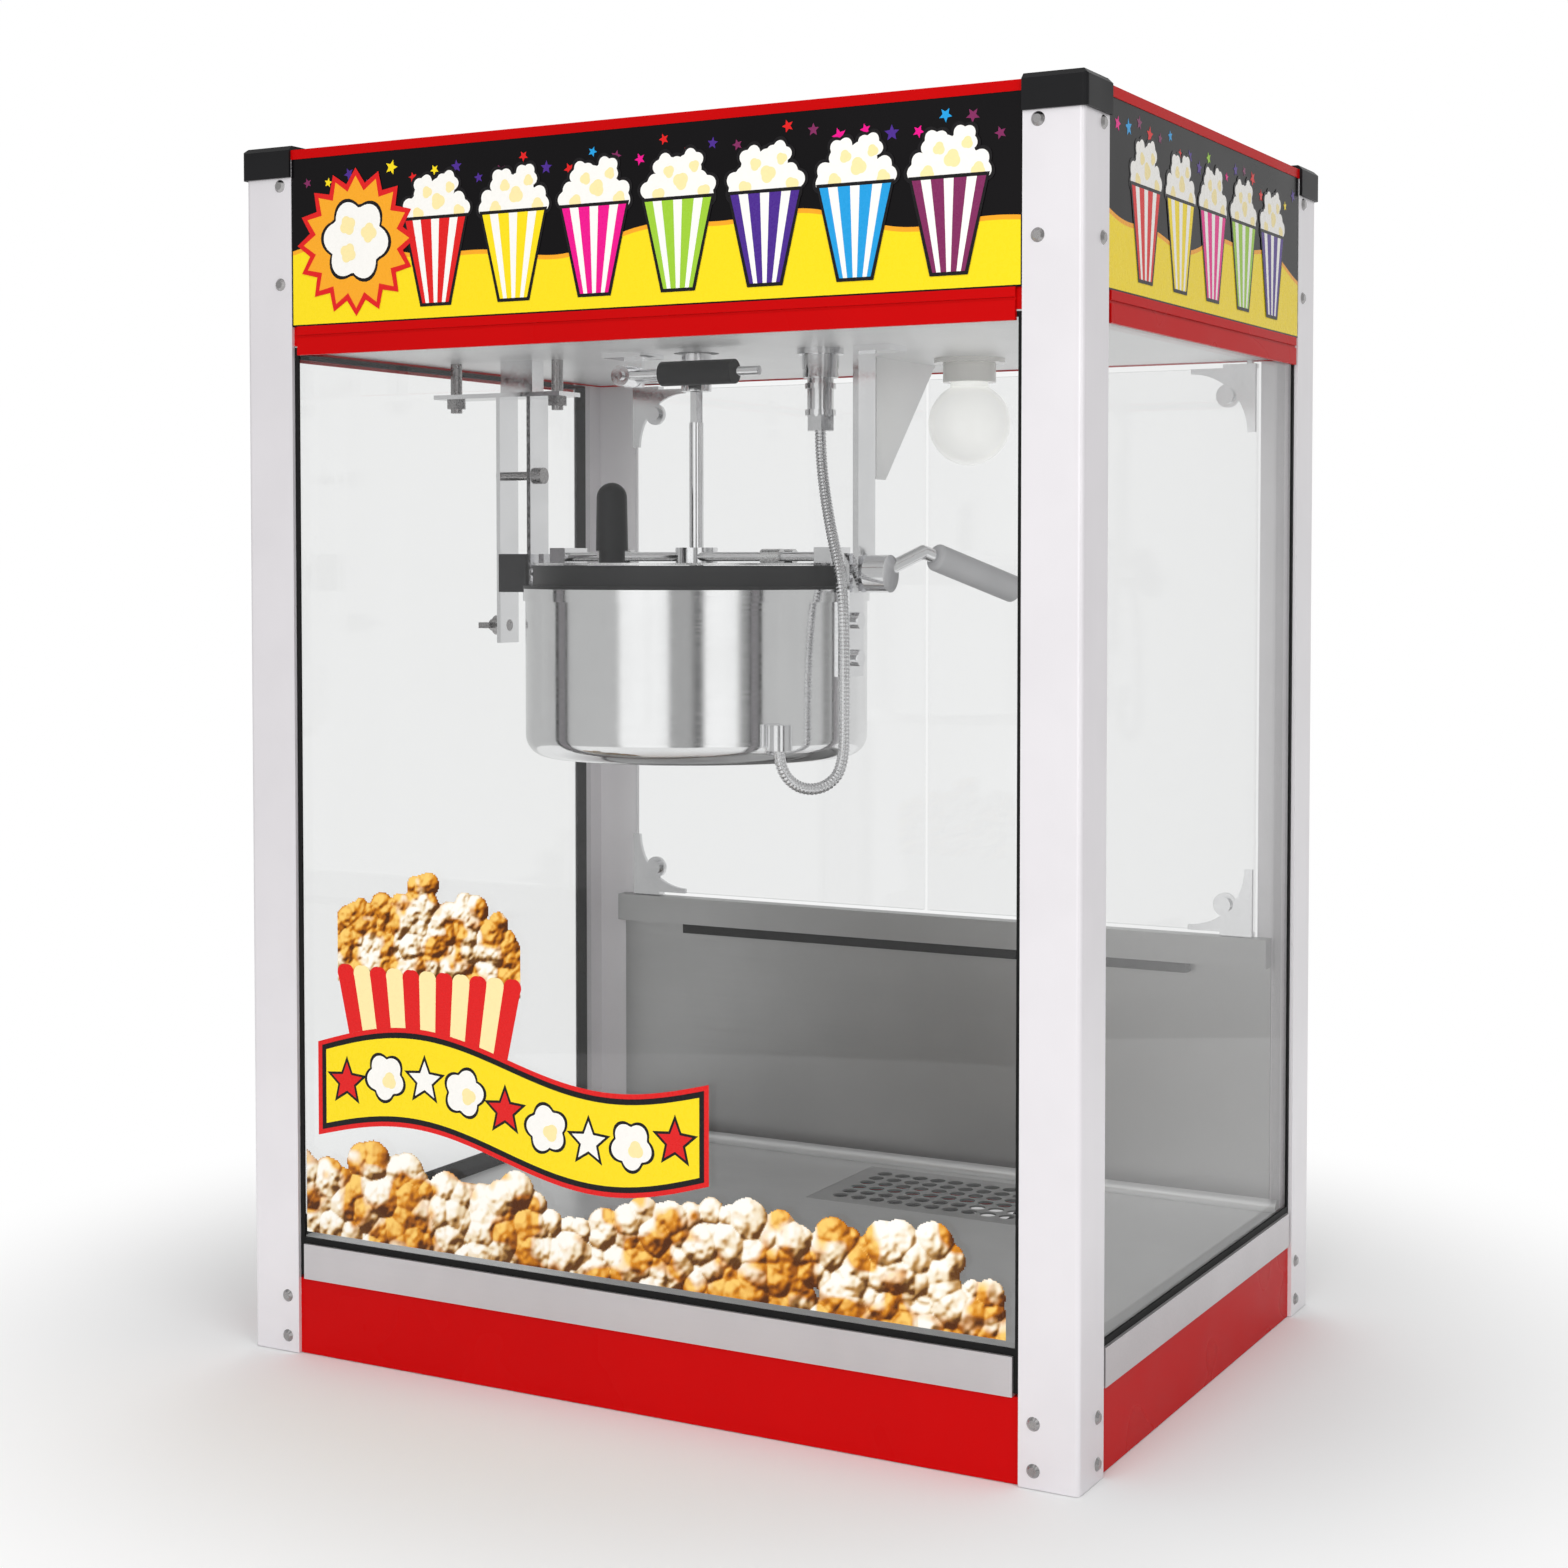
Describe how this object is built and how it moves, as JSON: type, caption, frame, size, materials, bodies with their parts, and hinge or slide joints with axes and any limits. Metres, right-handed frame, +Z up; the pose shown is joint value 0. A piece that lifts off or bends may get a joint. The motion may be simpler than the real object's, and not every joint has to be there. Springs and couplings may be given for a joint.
{
  "type": "popcorn machine",
  "caption": "Glazed counter-top popcorn machine with a tilting kettle, stirrer drive, lid flaps, rear doors, crumb drawer and a lit interior.",
  "frame": {"origin": "middle of the underside, on the surface the machine stands on", "axes": "+Z up, -Y towards the glazed front, +Y towards the operator's doors, +X to the right seen from the front"},
  "size_m": [0.576, 0.42, 0.77],
  "materials": {
    "anodised_aluminium": "satin anodised extrusion",
    "red_paint": "gloss red paint",
    "black_plastic": "moulded, fine grain",
    "seal_rubber": "matte",
    "clear_glass": "clear float glass",
    "clear_acrylic": "clear door sheet",
    "stainless_sheet": "brushed stainless sheet",
    "bright_steel": "bright zinc plated bar",
    "polished_shell": "polished stainless",
    "cast_chrome": "plated casting",
    "nonstick_pan": "black non-stick coating",
    "dark_iron": "dark cast block",
    "heater_sheath": "heat tinted sheath",
    "sign_print": "printed sheet",
    "motor_paint": "grey paint",
    "white_ceramic": "white glazed",
    "bulb_glass": "opal bulb",
    "lead_sleeve": "silver braided sleeve"
  },
  "bodies": {
    "cabinet": {"post_front_left": "anodised_aluminium", "post_front_right": "anodised_aluminium", "post_rear_right": "anodised_aluminium", "post_rear_left": "anodised_aluminium", "corner_caps": "black_plastic", "post_screws": "bright_steel", "base_tray": "red_paint", "mains_inlet": "black_plastic", "sill_rails": "anodised_aluminium", "glass_seals": "seal_rubber", "front_glass": "clear_glass", "left_glass": "clear_glass", "right_glass": "clear_glass", "floor_deck": "stainless_sheet", "kernel_screen": "stainless_sheet", "rear_lower_panel": "stainless_sheet", "top_cover": "red_paint", "header_rails": "red_paint", "sign_panels": "sign_print", "ceiling_plate": "stainless_sheet", "rear_control_panel": "stainless_sheet", "left_hanger": "bright_steel", "left_bearing_block": "dark_iron", "hanger_bolts": "bright_steel", "right_hanger": "bright_steel", "gear_motor": "motor_paint", "lever_bracket": "bright_steel", "heater_socket": "cast_chrome", "heater_plug": "cast_chrome", "heater_lead": "lead_sleeve", "lamp_holder": "white_ceramic", "lamp_bulb": "bulb_glass", "lamp_shield": "stainless_sheet"},
    "kettle": {"kettle_shell": "polished_shell", "kettle_pan": "nonstick_pan", "heater_element": "heater_sheath", "thermostat": "white_ceramic", "kettle_gland": "cast_chrome", "kettle_ears": "bright_steel", "handle_arm": "bright_steel", "handle_grip": "black_plastic", "lid_crossbar": "bright_steel"},
    "front_lid": {"front_lid": "stainless_sheet", "lid_knob": "black_plastic"},
    "rear_lid": {"rear_lid": "stainless_sheet"},
    "stirrer": {"stirrer_shaft": "bright_steel", "stirrer_blade": "bright_steel"},
    "motor_output": {"motor_output": "bright_steel"},
    "coupling_sleeve": {"coupling_sleeve": "bright_steel"},
    "shaft_lever": {"lever_arm": "bright_steel", "lever_grip": "black_plastic"},
    "left_door": {"left_door": "clear_acrylic", "left_door_hinges": "cast_chrome"},
    "right_door": {"right_door": "clear_acrylic", "right_door_hinges": "cast_chrome"},
    "crumb_drawer": {"crumb_drawer": "stainless_sheet"},
    "heat_switch": {"heat_switch": "black_plastic"},
    "stir_switch": {"stir_switch": "black_plastic"},
    "lamp_switch": {"lamp_switch": "black_plastic"}
  },
  "joints": [
    {"name": "kettle_tilt", "type": "hinge", "parent": "cabinet", "child": "kettle", "pos_m": [-0.061, -0.025, 0.5], "axis": [-1, 0, 0], "range_deg": [0, 90], "deforming": ["heater_lead"]},
    {"name": "front_lid_flap", "type": "hinge", "parent": "kettle", "child": "front_lid", "pos_m": [-0.061, -0.034, 0.511], "axis": [-1, 0, 0], "range_deg": [0, 60]},
    {"name": "rear_lid_flap", "type": "hinge", "parent": "kettle", "child": "rear_lid", "pos_m": [-0.061, -0.016, 0.511], "axis": [1, 0, 0], "range_deg": [0, 60]},
    {"name": "stirrer_spin", "type": "hinge", "parent": "kettle", "child": "stirrer", "pos_m": [-0.061, -0.025, 0.5], "axis": [0, 0, 1], "continuous": true},
    {"name": "motor_spin", "type": "hinge", "parent": "cabinet", "child": "motor_output", "pos_m": [-0.061, -0.025, 0.65], "axis": [0, 0, 1], "continuous": true},
    {"name": "sleeve_slide", "type": "slide", "parent": "motor_output", "child": "coupling_sleeve", "axis": [0, 0, 1], "range_m": [-0.01, 0]},
    {"name": "lever_turn", "type": "hinge", "parent": "cabinet", "child": "shaft_lever", "pos_m": [-0.101, -0.048, 0.63], "axis": [0, -1, 0], "range_deg": [-14.4, 0]},
    {"name": "left_door_hinge", "type": "hinge", "parent": "cabinet", "child": "left_door", "pos_m": [-0.244, 0.2005, 0.45], "axis": [0, 0, 1], "range_deg": [0, 95]},
    {"name": "right_door_hinge", "type": "hinge", "parent": "cabinet", "child": "right_door", "pos_m": [0.244, 0.2005, 0.45], "axis": [0, 0, -1], "range_deg": [0, 95]},
    {"name": "drawer_slide", "type": "slide", "parent": "cabinet", "child": "crumb_drawer", "axis": [0, 1, 0], "range_m": [0, 0.15]},
    {"name": "heat_switch_rock", "type": "hinge", "parent": "cabinet", "child": "heat_switch", "pos_m": [-0.044, 0.2015, 0.71], "axis": [-1, 0, 0], "range_deg": [0, 12]},
    {"name": "stir_switch_rock", "type": "hinge", "parent": "cabinet", "child": "stir_switch", "pos_m": [0, 0.2015, 0.71], "axis": [-1, 0, 0], "range_deg": [0, 12]},
    {"name": "lamp_switch_rock", "type": "hinge", "parent": "cabinet", "child": "lamp_switch", "pos_m": [0.044, 0.2015, 0.71], "axis": [-1, 0, 0], "range_deg": [0, 12]}
  ],
  "couplings": [
    {"joint": "motor_spin", "follows": "stirrer_spin", "ratio": 1},
    {"joint": "sleeve_slide", "follows": "lever_turn", "m_per_rad": 0.0397}
  ]
}
